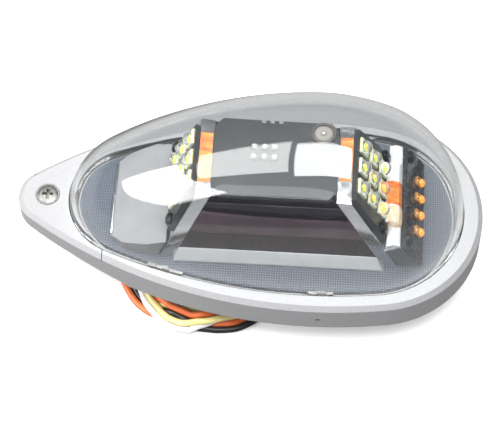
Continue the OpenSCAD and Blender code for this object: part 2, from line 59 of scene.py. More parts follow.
def aim_camera():
    az, el, roll = (math.radians(a) for a in (CAMERA_AZIMUTH, CAMERA_ELEVATION, CAMERA_ROLL))
    back = Vector((math.sin(az) * math.cos(el), -math.cos(az) * math.cos(el), math.sin(el)))
    right = Vector((math.cos(az), math.sin(az), 0))
    up = back.cross(right)
    turned_right = math.cos(roll) * right + math.sin(roll) * up
    turned_up = -math.sin(roll) * right + math.cos(roll) * up
    data = bpy.data.cameras.new("camera")
    data.sensor_width = 36
    data.lens = CAMERA_LENS
    data.clip_start, data.clip_end = 0.05, 20
    camera = bpy.data.objects.new("camera", data)
    turn = Matrix((turned_right, turned_up, back)).transposed().to_4x4()
    camera.matrix_world = Matrix.Translation(CAMERA_TARGET + back * CAMERA_DISTANCE) @ turn
    bpy.context.scene.collection.objects.link(camera)
    bpy.context.scene.camera = camera


aim_camera()

# ---- materials ----


class Finish:
    """A material on one Principled shader, with its textures in the object's own metres."""

    def __init__(self, name, colour, rough, **sockets):
        self.material = bpy.data.materials.get(name) or bpy.data.materials.new(name)
        self.material.use_nodes = True
        self.tree = self.material.node_tree
        self.tree.nodes.clear()
        self.out = self.node("OutputMaterial")
        self.shader = self.node("BsdfPrincipled")
        self.link(self.shader.outputs[0], self.out.inputs["Surface"])
        self.place = self.node("TexCoord").outputs["Object"]
        self.colour, self.rough = colour, rough
        self.put("Base Color", (*colour, 1))
        self.put("Roughness", rough)
        for socket, value in sockets.items():
            self.put(socket.replace("_", " "), value)

    def node(self, kind):
        return self.tree.nodes.new("ShaderNode" + kind)

    def link(self, start, end):
        self.tree.links.new(start, end)

    def put(self, socket, value):
        self.shader.inputs[socket].default_value = value

    def noise(self, size, detail=2.0, stretch=(1, 1, 1)):
        """Noise from 0 to 1 with patches of about that size in mm."""
        squeeze = self.node("Mapping")
        squeeze.inputs["Scale"].default_value = stretch
        noise = self.node("TexNoise")
        noise.inputs["Scale"].default_value = 1 / (size * MM)
        noise.inputs["Detail"].default_value = detail
        self.link(self.place, squeeze.inputs["Vector"])
        self.link(squeeze.outputs[0], noise.inputs["Vector"])
        return noise.outputs["Fac"]

    def bands(self, pitch, direction):
        """A soft wave from 0 to 1 along one axis, one crest to each pitch in mm."""
        wave = self.node("TexWave")
        wave.bands_direction = direction
        wave.inputs["Scale"].default_value = math.pi / 10 / (pitch * MM)
        self.link(self.place, wave.inputs["Vector"])
        return wave.outputs["Fac"]

    def product(self, a, b):
        times = self.node("Math")
        times.operation = "MULTIPLY"
        self.link(a, times.inputs[0])
        self.link(b, times.inputs[1])
        return times.outputs[0]

    def spread(self, value, low, high):
        """A texture's usual range, 0.3 to 0.7, taken to low to high."""
        ramp = self.node("MapRange")
        ends = {"From Min": 0.3, "From Max": 0.7, "To Min": low, "To Max": high}
        for socket, number in ends.items():
            ramp.inputs[socket].default_value = number
        self.link(value, ramp.inputs["Value"])
        return ramp.outputs[0]

    def shade(self, mask, light, dark):
        """Base colour from dark where the mask is 0 to light where it is 1."""
        mix = self.node("Mix")
        mix.data_type = "RGBA"
        self.link(mask, mix.inputs["Factor"])
        mix.inputs["A"].default_value = (*dark, 1)
        mix.inputs["B"].default_value = (*light, 1)
        self.link(mix.outputs["Result"], self.shader.inputs["Base Color"])

    def rings(self, centre, stops):
        """Base colour by distance in mm from a vertical axis; stops are (radius, colour)."""
        flat, far, ramp = self.node("Mapping"), self.node("VectorMath"), self.node("ValToRGB")
        flat.inputs["Scale"].default_value = (1, 1, 0)
        flat.inputs["Location"].default_value = (-centre[0] * MM, -centre[1] * MM, 0)
        far.operation = "LENGTH"
        self.link(self.place, flat.inputs["Vector"])
        self.link(flat.outputs[0], far.inputs[0])
        reach = stops[-1][0] * MM
        scaled = self.node("Math")
        scaled.operation = "DIVIDE"
        scaled.inputs[1].default_value = reach
        self.link(far.outputs["Value"], scaled.inputs[0])
        self.link(scaled.outputs[0], ramp.inputs[0])
        marks = ramp.color_ramp.elements
        while len(marks) < len(stops):
            marks.new(0.5)
        for mark, (radius, colour) in zip(marks, stops):
            mark.position = radius * MM / reach
            mark.color = (*colour, 1)
        self.link(ramp.outputs[0], self.shader.inputs["Base Color"])
        return self

    def vary(self, size=6, tint=0.07, wear=0.05, stretch=(1, 1, 1)):
        """Soft patches of colour and gloss."""
        patch = self.noise(size, 3, stretch)
        light, dark = ([min(1, c * k) for c in self.colour] for k in (1 + tint, 1 - tint))
        self.shade(self.spread(patch, 0, 1), light, dark)
        gloss = self.noise(size / 3, 4, stretch)
        low, high = max(0, self.rough - wear), self.rough + wear
        self.link(self.spread(gloss, low, high), self.shader.inputs["Roughness"])
        return self

    def relief(self, height, depth, edge=0.2):
        """Bump of that depth in mm, on edges rounded off to edge mm."""
        bump = self.node("Bump")
        bump.inputs["Distance"].default_value = depth * MM
        self.link(height, bump.inputs["Height"])
        if edge:
            rounding = self.node("Bevel")
            rounding.samples = 4
            rounding.inputs["Radius"].default_value = edge * MM
            self.link(rounding.outputs[0], bump.inputs["Normal"])
        self.link(bump.outputs[0], self.shader.inputs["Normal"])
        return self

    def grain(self, size=0.3, depth=0.01, edge=0.2, stretch=(1, 1, 1)):
        return self.relief(self.noise(size, 2, stretch), depth, edge)

    def pass_shadows(self, tint):
        """Lets lamp light through the surface, tinted."""
        path, clear = self.node("LightPath"), self.node("BsdfTransparent")
        mix = self.node("MixShader")
        clear.inputs["Color"].default_value = (*tint, 1)
        self.link(path.outputs["Is Shadow Ray"], mix.inputs[0])
        self.link(self.shader.outputs[0], mix.inputs[1])
        self.link(clear.outputs[0], mix.inputs[2])
        self.link(mix.outputs[0], self.out.inputs["Surface"])
        return self

    def dim_to_the_object(self, colour, bounce):
        """Stage paper that the object mirrors as a darker one, as a lit backdrop does.

        The camera sees the paper itself, and mirrors and glass only the darker colour. Matte
        surfaces are lit by a mix of the two, with the paper's share given by bounce."""
        path, darker = self.node("LightPath"), self.node("BsdfDiffuse")
        mix = self.node("MixShader")
        darker.inputs["Color"].default_value = (*colour, 1)
        white = self.node("Math")
        white.operation = "MULTIPLY_ADD"
        white.inputs[1].default_value = bounce
        self.link(path.outputs["Is Diffuse Ray"], white.inputs[0])
        self.link(path.outputs["Is Camera Ray"], white.inputs[2])
        self.link(white.outputs[0], mix.inputs[0])
        self.link(darker.outputs[0], mix.inputs[1])
        self.link(self.shader.outputs[0], mix.inputs[2])
        self.link(mix.outputs[0], self.out.inputs["Surface"])


def metal(name, colour, rough, **sockets):
    return Finish(name, colour, rough, Metallic=1.0, **sockets)


def make_metals():
    satin = Finish(
        "satin_aluminium", (0.318, 0.318, 0.323), 0.5, Metallic=0.12, Specular_IOR_Level=0.15,
    )
    satin.vary(0.7, 0.05, 0.06).grain(0.35, 0.02, 0.25)
    metal("core_aluminium", (0.26, 0.265, 0.28), 0.38).vary(7, 0.05, 0.06).grain(
        0.4, 0.008, 0.2, (1, 8, 8))
    metal("polished_aluminium", (0.74, 0.74, 0.75), 0.13).vary(8, 0.05, 0.05).grain(0.9, 0.004, 0.3)
    Finish("stainless", (0.20, 0.195, 0.185), 0.3, Metallic=0.7).vary(3, 0.08, 0.08).grain(
        0.5, 0.006, 0.12)
    metal("brass_insert", (0.80, 0.62, 0.30), 0.3).vary(3, 0.1, 0.08).grain(0.4, 0.01)
    metal("smoked_mirror", (0.13, 0.092, 0.108), 0.04).vary(14, 0.2, 0.02).grain(3, 0.006, 0.1)
    metal("cover_metal", (0.60, 0.61, 0.62), 0.4).vary(10, 0.05, 0.06).grain(0.3, 0.008)
    metal("black_screw", (0.035, 0.035, 0.038), 0.28).vary(2, 0.2, 0.1).grain(0.4, 0.01, 0.15)
    Finish("matte_rail", (0.46, 0.47, 0.48), 0.42, Metallic=0.6).vary(6, 0.05, 0.05).grain(
        0.25, 0.008)
    bar = Finish("bar_metal", (0.62, 0.62, 0.63), 0.3, Metallic=0.4)
    bar.vary(4, 0.10, 0.08, (1, 0.3, 1)).grain(0.6, 0.01, 0.3)
    plate = Finish("matte_plate", (0.155, 0.155, 0.16), 0.6, Specular_IOR_Level=0.15)
    plate.vary(5, 0.07, 0.06).grain(0.5, 0.012, 0.25)


def make_boards():
    Finish("black_board", (0.016, 0.017, 0.019), 0.3).vary(1.5, 0.12, 0.015).grain(0.5, 0.006, 0.15)
    dark = Finish("dark_board", (0.014, 0.015, 0.016), 0.24, Coat_Weight=0.4)
    dark.vary(3, 0.3, 0.08).grain(0.8, 0.01, 0.12)
    Finish("green_board", (0.02, 0.10, 0.04), 0.35).vary(4, 0.2, 0.08).grain(0.6, 0.01)
    Finish("driver_plastic", (0.02, 0.02, 0.022), 0.45).vary(2, 0.2, 0.08).grain(0.3, 0.01)


def make_plastics():
    Finish("black_rubber", (0.018, 0.018, 0.019), 0.6).vary(3, 0.2, 0.08).grain(0.3, 0.02)
    Finish("bezel_plastic", (0.045, 0.040, 0.040), 0.35).vary(2, 0.15, 0.06).grain(0.3, 0.006)
    window = Finish("window_plastic", (0.165, 0.155, 0.135), 0.22, Coat_Weight=0.6)
    window.vary(2.5, 0.1, 0.05).grain(1.2, 0.01, 0.15)
    window.rings((22, 9.2), [
        (0, (0.40, 0.40, 0.37)), (0.35, (0.36, 0.36, 0.33)), (0.6, (0.10, 0.095, 0.09)),
        (1.0, (0.14, 0.13, 0.12)), (1.5, (0.175, 0.165, 0.145)), (2.2, (0.165, 0.155, 0.135)),
        (2.6, (0.10, 0.092, 0.085)), (3.0, (0.10, 0.092, 0.085)),
    ])
    weave = Finish("floor_composite", (0.070, 0.082, 0.104), 0.5, Specular_IOR_Level=0.2)
    weave.vary(12, 0.10, 0.06)
    dots = weave.product(weave.bands(0.75, "X"), weave.bands(0.75, "Y"))
    weave.shade(weave.spread(dots, 0, 1), (0.118, 0.136, 0.168), (0.038, 0.045, 0.058))
    weave.relief(dots, 0.05, 0)
    tape = Finish("amber_tape", (0.42, 0.085, 0.012), 0.3, Coat_Weight=0.3)
    streak = tape.noise(1.6, 3, (0.4, 1.6, 1))
    tape.shade(tape.spread(streak, 0, 1), (0.62, 0.22, 0.04), (0.34, 0.035, 0.008))
    tape.grain(1.5, 0.03, 0)


def make_leads():
    colours = {
        "lead_orange": (0.80, 0.18, 0.055), "lead_black": (0.014, 0.014, 0.015),
        "lead_yellow": (0.80, 0.68, 0.28), "lead_white": (0.80, 0.80, 0.78),
        "lead_coil": (0.80, 0.5, 0.1),
    }
    metal("tinned_wire", (0.62, 0.61, 0.58), 0.3).vary(1, 0.1, 0.08).grain(0.25, 0.03, 0)
    for name, colour in colours.items():
        lead = Finish(name, colour, 0.34, Subsurface_Weight=0.05, Subsurface_Scale=0.4 * MM)
        lead.vary(4, 0.06, 0.08).grain(0.5, 0.008, 0)


def make_clear():
    lens = Finish(
        "clear_lens", (0.94, 0.95, 0.95), 0.0, IOR=1.585, Transmission_Weight=1.0,
    )
    lens.grain(14, 0.004, 0)
    lens.pass_shadows((0.92, 0.93, 0.93))
    dome = Finish("led_dome", (0.99, 0.99, 0.94), 0.02, IOR=1.5, Transmission_Weight=1.0)
    dome.grain(2, 0.004, 0)
    dome.pass_shadows((0.95, 0.95, 0.85))
    amber = Finish("amber_led", (0.98, 0.62, 0.18), 0.04, IOR=1.5, Transmission_Weight=0.85)
    amber.grain(1.5, 0.005, 0)
    amber.pass_shadows((0.95, 0.6, 0.2))
    bead = Finish("bead_resin", (0.72, 0.58, 0.42), 0.12, IOR=1.5, Transmission_Weight=0.7)
    bead.vary(1.5, 0.08, 0.06).grain(1.2, 0.05, 0)
    bead.pass_shadows((0.9, 0.8, 0.65))
    Finish("led_package", (0.42, 0.45, 0.34), 0.35).vary(1, 0.10, 0.08).grain(0.4, 0.01, 0.12)
    Finish("top_led", (0.19, 0.20, 0.19), 0.2, Coat_Weight=1.0).vary(0.8, 0.12, 0.08).grain(
        0.3, 0.01)
    Finish("phosphor", (0.62, 0.64, 0.09), 0.5).vary(0.5, 0.10, 0.06).grain(0.15, 0.01, 0)
    Finish("amber_body", (0.30, 0.13, 0.03), 0.3, Coat_Weight=0.5).vary(0.8, 0.2, 0.08).grain(
        0.3, 0.01, 0.1)
    Finish("amber_die", (0.95, 0.50, 0.10), 0.4).vary(0.5, 0.1, 0.06).grain(0.2, 0.01, 0)
    metal("gold_pad", (0.90, 0.68, 0.32), 0.22).vary(0.5, 0.12, 0.08).grain(0.2, 0.01, 0.05)


make_metals()
make_boards()
make_plastics()
make_leads()
make_clear()

# ---- pieces and mesh helpers ----


def finish_mesh(bm, name, materials, sharp=35):
    """A named object from the bmesh, outward facing, smooth but for edges past that angle."""
    bmesh.ops.recalc_face_normals(bm, faces=bm.faces)
    mesh = bpy.data.meshes.new(name)
    bm.to_mesh(mesh)
    bm.free()
    mesh.shade_smooth()
    mesh.set_sharp_from_angle(angle=math.radians(sharp))
    for material in materials:
        mesh.materials.append(bpy.data.materials[material])
    obj = bpy.data.objects.new(name, mesh)
    bpy.context.scene.collection.objects.link(obj)
    return obj


def stand_for(obj, body, slot, *nodes):
    """Puts a piece on a body, in place of those CAD nodes; the slot is not used."""
    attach(obj, body)
    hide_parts(*nodes)


def loft(bm, rings, material=0, capped=True):
    """Skin over rings of as many points each: capped at both ends, or closed on the first."""
    faces = [bm.faces.new(rings[0]), bm.faces.new(rings[-1])] if capped else []
    for low, high in zip(rings, rings[1:] if capped else rings[1:] + rings[:1]):
        for k in range(len(low)):
            n = (k + 1) % len(low)
            faces.append(bm.faces.new((low[k], low[n], high[n], high[k])))
    for face in faces:
        face.material_index = material


def sweep(bm, points, radii, material=0, sides=14):
    """A round tube along the points, of that radius at each, closed at both ends."""
    points = [Vector(p) for p in points]
    side = Vector((1, 0, 0))
    rings = []
    for k, (point, radius) in enumerate(zip(points, radii)):
        along = (points[min(k + 1, len(points) - 1)] - points[max(k - 1, 0)]).normalized()
        side = (side - along * side.dot(along)).normalized()
        other = along.cross(side)
        turns = [2 * math.pi * n / sides for n in range(sides)]
        rings.append([
            bm.verts.new(point + radius * (math.cos(a) * side + math.sin(a) * other))
            for a in turns])
    loft(bm, rings, material)


def slab(bm, outline, z0, z1, place, material=0, chamfer=0.0):
    """A plate with that outline in mm, its top edge chamfered, set down by a matrix in mm."""
    middle = sum((Vector(p) for p in outline), Vector((0, 0))) / len(outline)
    levels = [(z0, 0), (z1 - chamfer, 0)] + ([(z1, chamfer)] if chamfer else [])
    rings = []
    for z, inset in levels:
        ring = []
        for p in outline:
            away = Vector(p) - middle
            p = middle + away * (1 - inset / away.length)
            ring.append(bm.verts.new(place @ Vector((*p, z)) * MM))
        rings.append(ring)
    loft(bm, rings, material)


def lathe(bm, profile, place, material=0, sides=32):
    """A turned solid from (radius, height) in mm; the first and last points are on its axis."""
    rings = []
    for r, z in profile:
        turns = [0] if r == 0 else [2 * math.pi * k / sides for k in range(sides)]
        rings.append([
            bm.verts.new(place @ Vector((r * math.cos(a), r * math.sin(a), z)) * MM)
            for a in turns])
    for low, high in zip(rings, rings[1:]):
        for k in range(sides):
            n = (k + 1) % sides
            around = ((low, k), (low, n), (high, n), (high, k))
            corners = [ring[m % len(ring)] for ring, m in around]
            kept = [v for j, v in enumerate(corners) if v not in corners[:j]]
            bm.faces.new(kept).material_index = material


def ball_top(radius, base, steps=12):
    """Profile of a ball's upper half standing on a height."""
    arc = [math.pi / 2 * k / steps for k in range(steps)]
    return [(0, base)] + [(radius * math.cos(a), base + radius * math.sin(a)) for a in arc] + [
        (0, base + radius)]


# ---- flying leads ----

LEAD_R = 1.05 * MM
LEAD_LENGTH = 0.300
BUNDLE_OFF = 1.08 * MM
GLAND_Z = 0.9 * MM
COIL = Vector((-12 * MM, -6 * MM))
BEND_R = 5.8 * MM
INNER_LANE_R = 20.95 * MM
FLOOR_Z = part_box("lead_coil")[0][2]
STEP = 1 * MM
TINNED, TINNED_R = 6 * MM, 0.7 * MM

# Each lead's place in the bundle, then its lane in the coil: clockwise turn in degrees,
# radius in mm, and height in lead diameters above the floor.
LEADS = {
    "orange": (1, -1, [
        (0, 22.03, 1), (35, 23.5, 0.8), (70, 24.5, 0), (105, 23.6, 0), (126, 27.4, 0),
        (136, 28.8, 0), (150, 28.95, 0), (175, 28, 0), (220, 26.5, 0), (300, 24.6, 0.5),
        (360, 22.6, 1), (420, 21.6, 1), (443, 22.6, 1), (455, 23.6, 1), (470, 24, 1),
        (485, 23.5, 1.2), (497, 23.6, 1.2), (520, 22.4, 1), (600, 20.5, 1), (660, 20.5, 1),
    ]),
    "black": (-1, -1, [
        (0, 22.03, 0), (35, 25, 0), (56, 26.8, 0), (70, 26.3, 0), (84, 26.2, 0), (96, 25.8, 0),
        (108, 24.6, 1), (120, 24.6, 0.8), (130, 26, 0), (149, 26.8, 0), (175, 26, 0),
        (220, 24.3, 0), (300, 22.5, 0), (360, 20.5, 0), (420, 21.5, 0.4), (443, 23, 0.5),
        (455, 24.6, 0.2), (467, 25.2, 0), (480, 24.8, 0), (490, 23.2, 0), (500, 22, 0.3),
        (520, 20.6, 0), (600, 19, 0), (660, 19, 0),
    ]),
    "yellow": (1, 1, [
        (0, 19.87, 1), (70, 20.8, 0.5), (90, 21.5, 1), (105, 21.9, 1), (120, 23, 1),
        (135, 25.4, 0.6), (147, 25.9, 0.5), (175, 25, 0.5), (220, 24.4, 1), (300, 24.5, 1),
        (360, 24.6, 1), (420, 24, 1), (436, 23.9, 1), (450, 25.5, 1), (461, 26.5, 1),
        (474, 26.6, 1.2), (488, 25.7, 1.2), (502, 24.6, 1.2), (520, 23.5, 1), (600, 21.5, 1),
        (660, 21.5, 1),
    ]),
    "white": (-1, 1, [
        (0, 19.87, 0), (70, 18.9, 0), (105, 18.9, 0), (150, 22.5, 0), (175, 23, 0), (220, 22, 0),
        (300, 22.4, 0.5), (360, 22.8, 1), (420, 22.8, 0.5), (443, 23.8, 0.3), (455, 25.2, 0.2),
        (464, 26.9, 0.2), (474, 27.7, 0), (484, 27.9, 0), (495, 27.1, 0.3), (507, 25.4, 0.8),
        (520, 24.6, 1), (600, 22.8, 1), (660, 22.8, 1),
    ]),
}


def bundle_start(up, side):
    """Points from the gland face straight down, round to +Y and along the half circle."""
    u, v = up * BUNDLE_OFF, side * BUNDLE_OFF
    z = FLOOR_Z + LEAD_R + BUNDLE_OFF
    drop = np.arange(GLAND_Z, z + BEND_R, -STEP)
    points = [(COIL.x + v, COIL.y - BEND_R + u, level) for level in drop]
    for a in np.radians(np.arange(0, 90, 9)):
        r = BEND_R - u
        points.append((COIL.x + v, COIL.y - r * math.cos(a), z + BEND_R - r * math.sin(a)))
    half = INNER_LANE_R / 2
    for a in np.radians(np.arange(0, 180, 4)):
        r = half - v
        points.append((COIL.x + half - r * math.cos(a), COIL.y + r * math.sin(a), z + u))
    return points


def smooth_through(keys, at):
    """Value on a smooth curve through (position, value) keys."""
    x, y = np.array(keys).T
    slope = np.gradient(y, x)
    k = np.clip(np.searchsorted(x, at) - 1, 0, len(x) - 2)
    w = x[k + 1] - x[k]
    t = (at - x[k]) / w
    return (
        (2 * t**3 - 3 * t**2 + 1) * y[k] + (t**3 - 2 * t**2 + t) * w * slope[k]
        + (3 * t**2 - 2 * t**3) * y[k + 1] + (t**3 - t**2) * w * slope[k + 1]
    )


def lane_points(lane):
    """Points of a lead's turns round the coil, a step apart."""
    turn = np.arange(0, lane[-1][0], 2.4)
    radius = smooth_through([(a, r * MM) for a, r, _ in lane], turn)
    height = smooth_through([(a, h) for a, _, h in lane], turn)
    a = -np.radians(turn)
    z = FLOOR_Z + LEAD_R + 2 * BUNDLE_OFF * height
    return list(zip(COIL.x + radius * np.cos(a), COIL.y + radius * np.sin(a), z))


def settle(paths, held, rounds=240):
    """Lets the leads sink onto the floor and onto each other until none lies in another.

    The first held points of each stay where they are. Each round smooths the rest, draws them
    toward where they began, lets them sink a little and pushes apart those that overlap."""
    points = np.concatenate(paths)
    home = points.copy()
    strand = np.repeat(np.arange(len(paths)), [len(p) for p in paths])
    place = np.concatenate([np.arange(len(p)) for p in paths])
    free = place >= np.repeat(held, [len(p) for p in paths])
    inner = np.flatnonzero(free[:-1] & (strand[1:] == strand[:-1]))
    inner = inner[strand[inner - 1] == strand[inner]]
    apart = 2 * LEAD_R * 1.01
    smoothing, homing, sinking, pushing = 0.35, 0.06, 0.03 * MM, 1.4
    for n in range(rounds):
        if n % 12 == 0:
            gap = np.linalg.norm(points[:, None] - points[None], axis=2)
            order = np.arange(len(points))
            near = (gap < apart + 1.5 * MM) & (order[:, None] < order)
            near &= (strand[:, None] != strand) | (abs(place[:, None] - place) > 6)
            first, second = np.nonzero(near)
        middle = (points[inner - 1] + points[inner + 1]) / 2
        points[inner] += smoothing * (middle - points[inner])
        points[free, :2] += homing * (home[free, :2] - points[free, :2])
        points[free, 2] -= sinking
        for _ in range(3):
            between = points[second] - points[first]
            far = np.linalg.norm(between, axis=1)
            push = np.clip(apart - far, 0, None)[:, None] * between / far[:, None]
            share = free[first].astype(float) + free[second]
            share = np.where(share > 0, share, 1)[:, None]
            move, count = np.zeros_like(points), np.zeros(len(points))
            np.add.at(move, first, -push / share * free[first][:, None])
            np.add.at(move, second, push / share * free[second][:, None])
            hit = far < apart
            np.add.at(count, first[hit], 1)
            np.add.at(count, second[hit], 1)
            points += pushing * move / np.maximum(count, 1)[:, None]
            points[free, 2] = np.clip(points[free, 2], FLOOR_Z + LEAD_R, -2 * LEAD_R)
    return np.split(points, np.cumsum([len(p) for p in paths])[:-1])


def run_along(points):
    """Distance along the route to each of its points."""
    return np.concatenate([[0], np.cumsum(np.linalg.norm(np.diff(points, axis=0), axis=1))])


def cut_to(points, length):
    """The route cut off at a length, with its last point exactly there."""
    run = run_along(points)
    keep = run < length
    end = [np.interp(length, run, points[:, k]) for k in range(3)]
    return np.vstack([points[keep], end])


def lay_leads():
    """The four flying leads as tubes. Orange also stands for the CAD's coil ring."""
    starts = [bundle_start(up, side) for up, side, _ in LEADS.values()]
    lanes = [lane_points(lane) for _, _, lane in LEADS.values()]
    paths = [np.array(s + l) for s, l in zip(starts, lanes)]
    routes = settle(paths, [len(s) for s in starts])
    for name, route in zip(LEADS, routes):
        path = cut_to(route, LEAD_LENGTH)
        jacket = run_along(path) < LEAD_LENGTH - TINNED
        bm = bmesh.new()
        sweep(bm, path[jacket], [LEAD_R] * sum(jacket))
        sweep(bm, path[~jacket], [TINNED_R] * sum(~jacket), 1)
        wire = finish_mesh(bm, f"{name}_lead", [f"lead_{name}", "tinned_wire"])
        nodes = [f"lead_{name}"] + (["lead_coil"] if name == "orange" else [])
        stand_for(wire, "base", f"lead_{name}", *nodes)


lay_leads()

# ---- lens ----

LENS_TAIL = (-36.6, 19.7)
LENS_NOSE = (37.5, 28.9)
LENS_FLANK_R = 174
LENS_T = 2
DOME_TOP, DOME_FOOT, LENS_FOOT = 44.84, 12, 9.5
PEAK_X = 23
# The dome's cross-section and its two spines are superellipses of these powers.
DOME_POWER, TAIL_POWER, NOSE_POWER = 2.3, 1.62, 1.8
TONGUE_R, TONGUE_Y, TONGUE_T = 22.4, 8, 1
# The seal's section as (inset from the lens outline, height), all in mm.
SEAL_SECTION = [(-0.27, 9.02), (-0.27, 11.7), (-0.16, 11.8), (-0.05, 11.7), (-0.05, 9.45),
                (2.4, 9.45), (2.4, 9.02)]
# The ramp lip: where its middle is, half its length and its radius.
LIP_X, LIP_Z, LIP_HALF, LIP_R = -41.75, 11.95, 12.4, 0.42


def half_outline(inset):
    """Points of the lens's upper half outline in mm, from the tail end to the nose end."""
    (xa, ra), (xb, rb), rf = LENS_TAIL, LENS_NOSE, LENS_FLANK_R
    xf = ((rf - ra)**2 - (rf - rb)**2 + xb**2 - xa**2) / (2 * (xb - xa))
    yf = math.sqrt((rf - ra)**2 - (xf - xa)**2)
    at_a, at_b = math.atan2(yf, xa - xf), math.atan2(yf, xb - xf)
    tail = [(xa + (ra - inset) * math.cos(t), (ra - inset) * math.sin(t))
            for t in np.linspace(math.pi, at_a, 36, endpoint=False)]
    flank = [(xf + (rf - inset) * math.cos(t), (rf - inset) * math.sin(t) - yf)
             for t in np.linspace(at_a, at_b, 50, endpoint=False)]
    nose = [(xb + (rb - inset) * math.cos(t), (rb - inset) * math.sin(t))
            for t in np.linspace(at_b, 0, 41)]
    return tail + flank + nose


def spine_height(x, x0, x1, top):
    """Height of the dome's middle line over its foot, at x between the two ends."""
    power, start = (TAIL_POWER, x0) if x < PEAK_X else (NOSE_POWER, x1)
    t = abs((PEAK_X - x) / (PEAK_X - start))
    return top * max(0.0, 1 - t**power)**(1 / power)


def shell(bm, inset, across=72):
    """One dome surface down to the foot. Returns its foot ring, all the way round."""
    points = half_outline(inset)
    x0, x1 = points[0][0], points[-1][0]
    top = DOME_TOP - inset
    rows = []
    for x, y in points[1:-1]:
        high = spine_height(x, x0, x1, top)
        row = [bm.verts.new(Vector((x, y, LENS_FOOT)) * MM)]
        for k in range(across + 1):
            c, s = math.cos(math.pi * k / across), max(0.0, math.sin(math.pi * k / across))
            side = math.copysign(abs(c)**(2 / DOME_POWER), c)
            z = DOME_FOOT + high * s**(2 / DOME_POWER)
            row.append(bm.verts.new(Vector((x, y * side, z)) * MM))
        row.append(bm.verts.new(Vector((x, -y, LENS_FOOT)) * MM))
        rows.append(row)
    for a, b in zip(rows, rows[1:]):
        for k in range(len(a) - 1):
            bm.faces.new((a[k], a[k + 1], b[k + 1], b[k]))
    ends = []
    for row, x in ((rows[0], x0), (rows[-1], x1)):
        pole, foot = (bm.verts.new(Vector((x, 0, z)) * MM) for z in (DOME_FOOT, LENS_FOOT))
        for k in range(1, len(row) - 2):
            bm.faces.new((row[k], row[k + 1], pole))
        bm.faces.new((row[0], row[1], pole, foot))
        bm.faces.new((row[-2], row[-1], foot, pole))
        ends.append(foot)
    return [r[0] for r in rows] + [ends[1]] + [r[-1] for r in reversed(rows)] + [ends[0]]


def make_lens():
    """The smooth dome, open below, with the tongue that the retainer holds."""
    bm = bmesh.new()
    outer, inner = shell(bm, 0), shell(bm, LENS_T)
    count = len(outer)
    for k in range(count):
        n = (k + 1) % count
        bm.faces.new((outer[k], outer[n], inner[n], inner[k]))
    x, r = LENS_TAIL
    across = np.linspace(-TONGUE_Y, TONGUE_Y, 15)
    root = [(x - math.sqrt((r - 0.05)**2 - y * y), y) for y in across]
    tip = [(x - math.sqrt(TONGUE_R**2 - y * y), y) for y in across[::-1]]
    slab(bm, root + tip, LENS_FOOT, LENS_FOOT + TONGUE_T, Matrix())
    stand_for(finish_mesh(bm, "dome_lens", ["clear_lens"]), "lens", "clear_lens", "lens")


def make_ramp_lip():
    """Bright rolled edge along the low end of the rear ramp."""
    straight = LIP_HALF - 0.6
    ends = [(LIP_HALF, 0.12), (LIP_HALF - 0.2, 0.33)]
    run = [(-y, r) for y, r in ends]
    run += [(y, LIP_R) for y in np.linspace(-straight, straight, 9)]
    run += reversed(ends)
    bm = bmesh.new()
    sweep(bm, [(LIP_X * MM, y * MM, LIP_Z * MM) for y, _ in run], [r * MM for _, r in run])
    lip = finish_mesh(bm, "ramp_lip", ["polished_aluminium"])
    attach(lip, "base")


def make_seal():
    """Black seal under the lens foot, turned up round it into the gap to the base."""
    bm = bmesh.new()
    rings = []
    for inset, z in SEAL_SECTION:
        half = half_outline(inset)
        around = half + [(x, -y) for x, y in reversed(half[1:-1])]
        rings.append([bm.verts.new(Vector((x, y, z)) * MM) for x, y in around])
    loft(bm, rings, capped=False)
    stand_for(finish_mesh(bm, "lens_seal", ["black_rubber"]), "base", "black_rubber", "lens_gasket")


# ---- LED heads ----

# In mm. Places on a head are measured down its slope from the deck, across it and off its face.
DECK_Z, DECK_TOP = 40.4, 42
FRONT_X, FRONT_ANGLE = 31.2, 63
REAR_X, REAR_ANGLE = 14.9, 69
BOARD_T = 1.6
LED_PITCH, LED_ROW, LED_W, LED_H, LED_DOME_R = 6.9, 2.6, 5.0, 0.9, 2.1
AMBER_S, AMBER_PITCH, AMBER_BASE = 31.0, 5.7, 7.3
AMBER_W, AMBER_H, AMBER_DOME_R = 3.4, 0.7, 1.35
TOP_START, TOP_PITCH, TOP_W, TOP_H, TOP_DOME_R = (1.6, 0.2), (3.1, 3.4), 2.2, 0.5, 0.95
BEAD_SECTION = [(18.75, 2.9), (18.5, 3.6), (18.5, 4.6), (19.1, 5.6), (20.1, 6.3), (21.8, 6.4),
                (22.5, 6.1), (22.4, 5.4), (21.4, 4.4), (20.3, 3.5), (19.4, 2.9)]
BEAD_MIDDLE, BEAD_LOW, BEAD_HIGH = Vector((20.4, 4.6)), -11.4, -4.4


def head_frame(x, angle, side):
    """Local frame of a sloping head in mm: down its slope, across it, and off its face."""
    a = math.radians(angle)
    down = Vector((side * math.cos(a), 0, -math.sin(a)))
    off = Vector((side * math.sin(a), 0, math.cos(a)))
    turn = Matrix((down, Vector((0, 1, 0)), off)).transposed().to_4x4()
    return Matrix.Translation((side * x, 0, DECK_Z)) @ turn


FRONT = head_frame(FRONT_X, FRONT_ANGLE, 1)
REAR = head_frame(REAR_X, REAR_ANGLE, -1)


def square(width, depth, corner):
    """A rectangle's outline with its corners cut off."""
    x, y, c = width / 2, depth / 2, corner
    return [(x - c, -y), (x, -y + c), (x, y - c), (x - c, y), (-x + c, y), (-x, y - c),
            (-x, -y + c), (-x + c, -y)]


